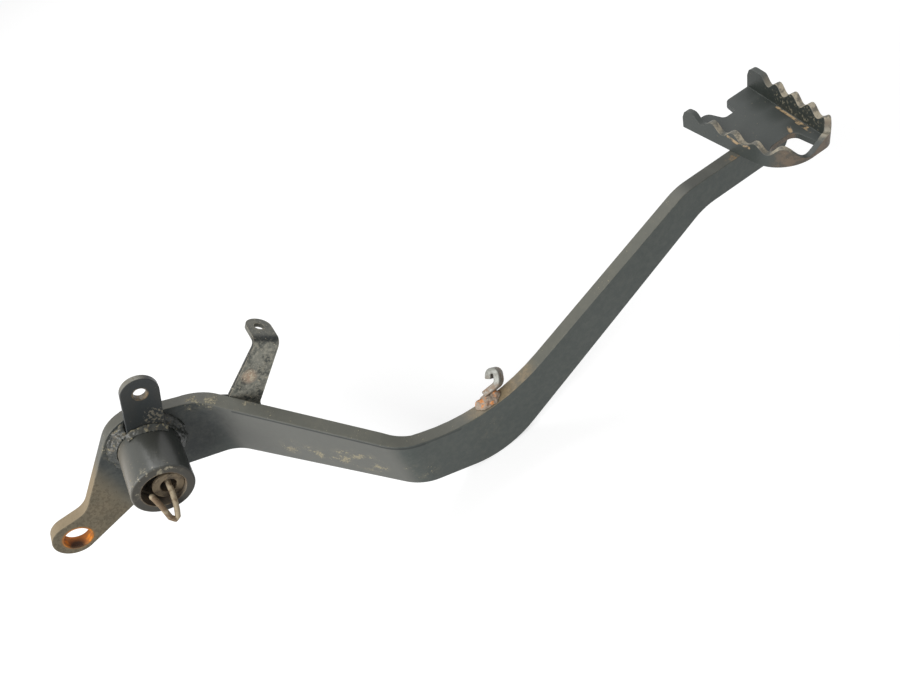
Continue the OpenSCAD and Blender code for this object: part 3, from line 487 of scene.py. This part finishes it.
def zinc_on_hook():
    """Dull plated strip: light grey on its edges and curl, darkened to brown-grey with painted shade on its
    broad outer face.
    """
    material, tree = start_material("dull_zinc_on_hook")
    place = add(tree, "ShaderNodeTexCoord", out="Object")
    skin = grain(tree, place, 4, 0.4, 0.65, detail=7, rough=0.68)
    # Painted shade: the broad outer face, which faces +X, is darker
    painted_shade_outer_face = turned_to(tree, "X", 0.35, 0.75)
    low = beyond(tree, place, "Z", *HOOK_FOOT_Z)
    rust = add(tree, "ShaderNodeMath", {0: low, 1: skin}, operation="MULTIPLY")
    colour = coats(tree, linear("8b8c86"), (
        (skin, 0.3, "77746c"), (painted_shade_outer_face, 0.8, "645f55"), (rust, 0.7, "8f6c4c")))
    pores = grain(tree, place, 0.8, detail=4, rough=0.65)
    height = relief(tree, ((skin, 0.05), (pores, 0.03)))
    finish_material(tree, colour, skin, height, rough=0.45, dull_rough=0.7, metal=0.35)
    return material


def rusted_steel(name, base, brown, orange, brown_share, orange_share):
    """Bare mild steel under dry rust: a brown skin over duller metal, orange bloom and fine pits. Real pits
    are finer than a pixel, so they are drawn 0.8 mm apart."""
    material, tree = start_material(name)
    place = add(tree, "ShaderNodeTexCoord", out="Object")
    brown_from, brown_full = 0.62 - 0.3 * brown_share, 0.74 - 0.26 * brown_share
    orange_from, orange_full = 0.72 - 0.26 * orange_share, 0.8 - 0.26 * orange_share
    skin = grain(tree, place, 4, brown_from, brown_full, detail=7, rough=0.68)
    bloom = grain(tree, place, 3.4, orange_from, orange_full, detail=6, rough=0.7, shift=0.9)
    pits = grain(tree, place, 0.8, detail=5, rough=0.7, shift=1.5)
    colour = coats(tree, linear(base), ((skin, 1.0, brown), (bloom, 0.85, orange)))
    height = relief(tree, ((pits, 0.12), (skin, 0.08)))
    finish_material(tree, colour, pits, height, rough=0.6, dull_rough=0.85, metal=0.15)
    return material


arm_paint = enamel_on_arm()
tube_paint = enamel_on_tube()
tab_paint = enamel_on_tab()
bracket_paint = dust_on_bracket()
pad_paint = enamel_on_pad()
weld_paint = enamel_on_weld()
hook_steel = zinc_on_hook()
weld_rust = rusted_steel("rusted_weld_bead", base="a09283", brown="7a6250", orange="d68c4c",
                         brown_share=0.45, orange_share=0.8)
washer_rust = rusted_steel("rusted_washer", base="70634f", brown="4a4033", orange="8f6a42",
                           brown_share=0.5, orange_share=0.3)
pin_rust = rusted_steel("rusted_split_pin", base="a89a80", brown="77634c", orange="a8855a",
                        brown_share=0.55, orange_share=0.25)


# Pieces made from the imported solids

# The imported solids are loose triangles: points nearer than this are one, and faces flatter than this are one
JOINED_WITHIN = 0.002 * MM
FLAT_WITHIN = math.radians(0.8)
# Shading turns sharply over edges that are steeper than this
SHADED_SHARP = math.radians(50)


def merged_copy(node):
    """A bmesh of a node's solid with its loose triangles joined and its flat faces whole."""
    shape = bmesh.new()
    shape.from_mesh(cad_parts[node].data)
    bmesh.ops.remove_doubles(shape, verts=shape.verts, dist=JOINED_WITHIN)
    bmesh.ops.dissolve_limit(shape, angle_limit=FLAT_WITHIN, verts=shape.verts, edges=shape.edges)
    return shape


def new_object(shape, name):
    """Puts a bmesh in the scene as an object and frees it."""
    mesh = bpy.data.meshes.new(name)
    shape.to_mesh(mesh)
    shape.free()
    made = bpy.data.objects.new(name, mesh)
    bpy.context.scene.collection.objects.link(made)
    return made


def keep_piece(shape, name, node, material):
    """Makes the piece of a bmesh, which stands for a node and takes its slot's finish."""
    piece = new_object(shape, name)
    for face in piece.data.polygons:
        face.use_smooth = True
    piece.data.materials.append(material)
    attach(piece, "root")
    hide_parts(node)
    return piece


def eased_piece(name, node, material, round_mm, sharp_deg=32, steps=3):
    """A solid whose edges over sharp_deg are rounded by round_mm, as deburred and painted steel has them."""
    shape = merged_copy(node)
    hard = [edge for edge in shape.edges
            if len(edge.link_faces) == 2 and edge.calc_face_angle(0) > math.radians(sharp_deg)]
    bmesh.ops.bevel(shape, geom=hard, offset=round_mm * MM, offset_type="OFFSET", affect="EDGES",
                    segments=steps, profile=0.5, material=-1, clamp_overlap=True)
    piece = keep_piece(shape, name, node, material)
    piece.data.set_sharp_from_angle(angle=SHADED_SHARP)
    shading = piece.modifiers.new("even shading", "WEIGHTED_NORMAL")
    shading.keep_sharp = True


def weld_piece(name, node, material, voxel_mm, lump_mm, seed):
    """A bead with the ripples of hand welding, up to lump_mm high, and finer spatter on them."""
    ripple_mm, spatter_mm, spatter_share = 3.1, 0.9, 0.35
    blank = new_object(merged_copy(node), name + "_blank")
    voxels = blank.modifiers.new("voxels", "REMESH")
    voxels.mode = "VOXEL"
    voxels.voxel_size = voxel_mm * MM
    bpy.context.view_layer.update()
    graph = bpy.context.evaluated_depsgraph_get()
    mesh = bpy.data.meshes.new_from_object(blank.evaluated_get(graph))
    bpy.data.objects.remove(blank)
    shape = bmesh.new()
    shape.from_mesh(mesh)
    bmesh.ops.smooth_vert(shape, verts=shape.verts, factor=0.5,
                          use_axis_x=True, use_axis_y=True, use_axis_z=True)
    shape.normal_update()
    for vert in shape.verts:
        at = vert.co / MM
        ripple = noise.noise(at / ripple_mm + Vector((seed, 0, 0))) * lump_mm
        spatter = noise.noise(at / spatter_mm + Vector((0, seed, 0))) * spatter_share * lump_mm
        vert.co += vert.normal * (ripple + spatter) * MM
    keep_piece(shape, name, node, material)


eased_piece("pressed_arm", "arm", arm_paint, round_mm=0.7)
eased_piece("pivot_sleeve", "pivot_tube", tube_paint, round_mm=0.25, sharp_deg=30)
eased_piece("toothed_pad", "foot_pad", pad_paint, round_mm=0.6, sharp_deg=40)
eased_piece("return_spring_tab", "spring_tab", tab_paint, round_mm=0.5)
eased_piece("switch_bracket_strip", "switch_bracket", bracket_paint, round_mm=0.35,
            sharp_deg=40)
eased_piece("spring_hook_strip", "spring_hook", hook_steel, round_mm=0.5, sharp_deg=40)
eased_piece("loose_washer", "pivot_washer", washer_rust, round_mm=0.3)
eased_piece("bent_split_pin", "split_pin", pin_rust, round_mm=0.01, sharp_deg=80, steps=1)

weld_piece("weld_round_sleeve", "tube_weld", weld_paint, voxel_mm=0.45, lump_mm=0.7, seed=3.1)
weld_piece("weld_on_tab", "tab_weld", weld_paint, voxel_mm=0.4, lump_mm=0.6, seed=7.7)
weld_piece("weld_on_bracket", "bracket_weld", weld_paint, voxel_mm=0.35, lump_mm=0.5, seed=1.3)
weld_piece("weld_on_hook", "hook_weld", weld_rust, voxel_mm=0.35, lump_mm=1.0, seed=5.9)
weld_piece("weld_under_pad", "pad_weld", weld_paint, voxel_mm=0.4, lump_mm=0.6, seed=9.2)


# Floor, light and camera

# The floor's reach each way and how far it lies below the pedal, in metres
FLOOR_REACH = 6.0
FLOOR_BELOW = 0.5 * MM
# Strengths, where 1 is white: the glow that the paper shows, the tent as it lights, and the tent as it shows
PAPER_GLOW = 0.58
TENT_LIGHT = 0.38
TENT_SHOWN = 0.78
# Each lamp is (name, place, what it is aimed at, side in metres, power in watts)
SOFT_BOXES = (
    ("soft_box_front_left", (-0.72, -0.52, 0.62), (0.1, -0.04, -0.03), 0.8, 13.0),
    ("soft_box_behind", (0.35, 0.75, 0.95), (0.15, -0.04, -0.03), 0.7, 6.0))

# The camera that was solved from the photograph's own ellipses and straight edges
CAMERA_PLACE = (0.0823, -0.2544, 0.2196)
CAMERA_RIGHT = (0.8160, -0.4986, -0.2924)
CAMERA_UP = (0.5582, 0.5487, 0.6223)
CAMERA_SENSOR = 36
CAMERA_LENS = 29.78
CAMERA_NEAR, CAMERA_FAR = 0.01, 20


def shown_rays(tree):
    """1 for rays that show the background, to the camera or in a reflection, and 0 for those that light."""
    rays = add(tree, "ShaderNodeLightPath").node.outputs
    shown = add(tree, "ShaderNodeMath", {0: rays["Is Camera Ray"], 1: rays["Is Glossy Ray"]},
                operation="MAXIMUM")
    return add(tree, "ShaderNodeMath", {0: shown, 1: rays["Is Transmission Ray"]}, operation="MAXIMUM")


def floor_paper():
    """White paper: matt, and shown as white to the camera and in reflections, with the shadow kept."""
    material, tree = start_material("white_paper")
    strength = add(tree, "ShaderNodeMath", {0: shown_rays(tree), 1: PAPER_GLOW}, operation="MULTIPLY")
    paper = add(tree, "ShaderNodeBsdfDiffuse", {"Color": linear("bdbdbd")})
    glow = add(tree, "ShaderNodeEmission", {"Color": linear("ffffff"), "Strength": strength})
    both = add(tree, "ShaderNodeAddShader", {0: paper, 1: glow})
    add(tree, "ShaderNodeOutputMaterial", {"Surface": both})
    return material


def studio():
    """A plain white floor in an evenly lit tent, with a soft box in front on the left and one behind."""
    flat = bmesh.new()
    bmesh.ops.create_grid(flat, x_segments=1, y_segments=1, size=FLOOR_REACH)
    bmesh.ops.translate(flat, vec=(0, 0, cad_box[0][2] - FLOOR_BELOW), verts=flat.verts)
    floor = new_object(flat, "studio_floor")
    floor.data.materials.append(floor_paper())

    world = bpy.data.worlds.new("light_tent")
    bpy.context.scene.world = world
    world.use_nodes = True
    tent = world.node_tree
    tent.nodes.clear()
    soft = add(tent, "ShaderNodeBackground", {"Color": linear("ffffff"), "Strength": TENT_LIGHT})
    white = add(tent, "ShaderNodeBackground", {"Color": linear("ffffff"), "Strength": TENT_SHOWN})
    mixed = add(tent, "ShaderNodeMixShader", {0: shown_rays(tent), 1: soft, 2: white})
    add(tent, "ShaderNodeOutputWorld", {"Surface": mixed})

    for name, place, aim, side, power in SOFT_BOXES:
        lamp = bpy.data.lights.new(name, "AREA")
        lamp.shape = "SQUARE"
        lamp.size = side
        lamp.energy = power
        holder = bpy.data.objects.new(name, lamp)
        bpy.context.scene.collection.objects.link(holder)
        holder.location = place
        holder.rotation_euler = (Vector(aim) - Vector(place)).to_track_quat("-Z", "Y").to_euler()


def photo_camera():
    """The camera at the photograph's viewing angle."""
    data = bpy.data.cameras.new("photo_camera")
    data.sensor_width = CAMERA_SENSOR
    data.lens = CAMERA_LENS
    data.clip_start = CAMERA_NEAR
    data.clip_end = CAMERA_FAR
    camera = bpy.data.objects.new("photo_camera", data)
    bpy.context.scene.collection.objects.link(camera)
    right = Vector(CAMERA_RIGHT).normalized()
    up = Vector(CAMERA_UP)
    up = (up - up.dot(right) * right).normalized()
    turn = Matrix((right, up, right.cross(up))).transposed()
    camera.matrix_world = Matrix.Translation(CAMERA_PLACE) @ turn.to_4x4()
    bpy.context.scene.camera = camera


studio()
photo_camera()
bpy.context.scene.view_settings.view_transform = "Standard"
